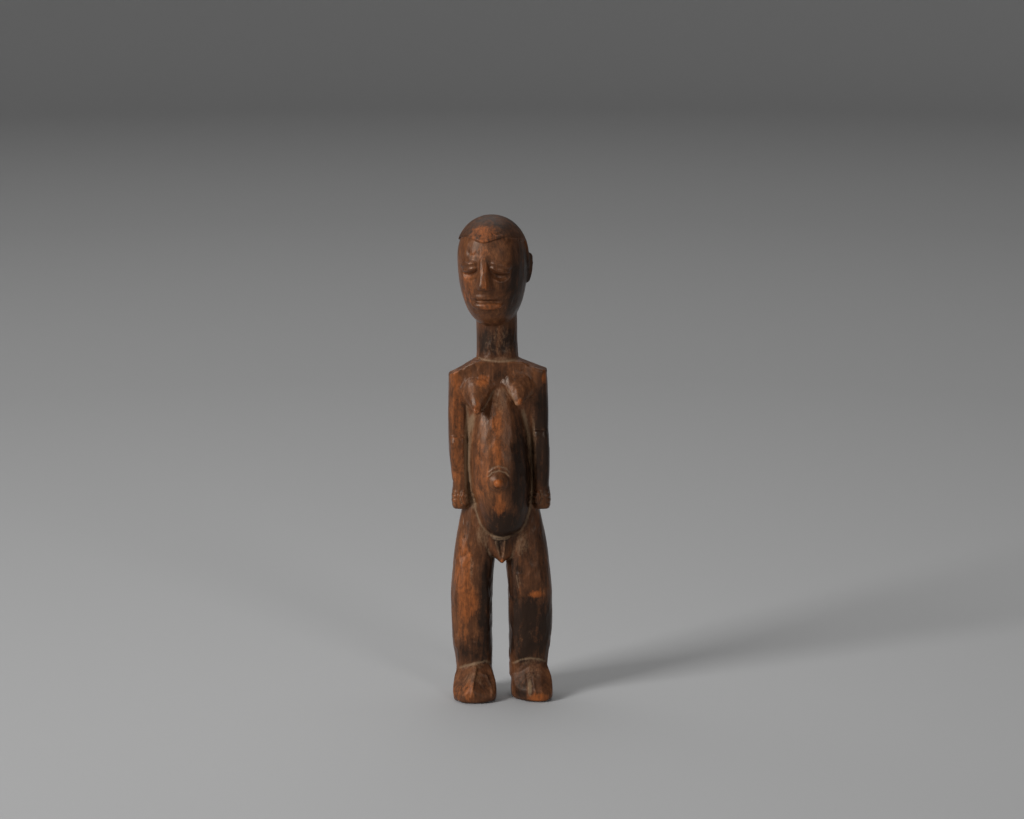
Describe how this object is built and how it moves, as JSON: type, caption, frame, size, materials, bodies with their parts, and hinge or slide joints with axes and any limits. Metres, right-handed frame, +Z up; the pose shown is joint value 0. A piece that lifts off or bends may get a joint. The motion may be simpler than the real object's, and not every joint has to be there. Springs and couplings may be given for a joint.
{
  "type": "carved wood figure of a standing woman",
  "caption": "Standing female figure carved from one piece of dark wood, with a long neck, capped oval head, arms held to the sides and flat soles to stand on.",
  "frame": {"origin": "middle of the box round the figure, on the surface that its two soles stand on", "axes": "+Z up along the figure, -Y the way the figure faces, +X to the right as seen from in front"},
  "size_m": [0.0472, 0.04, 0.22],
  "materials": {
    "wood": "satin"
  },
  "bodies": {
    "root": {"figure": "wood"}
  },
  "joints": []
}
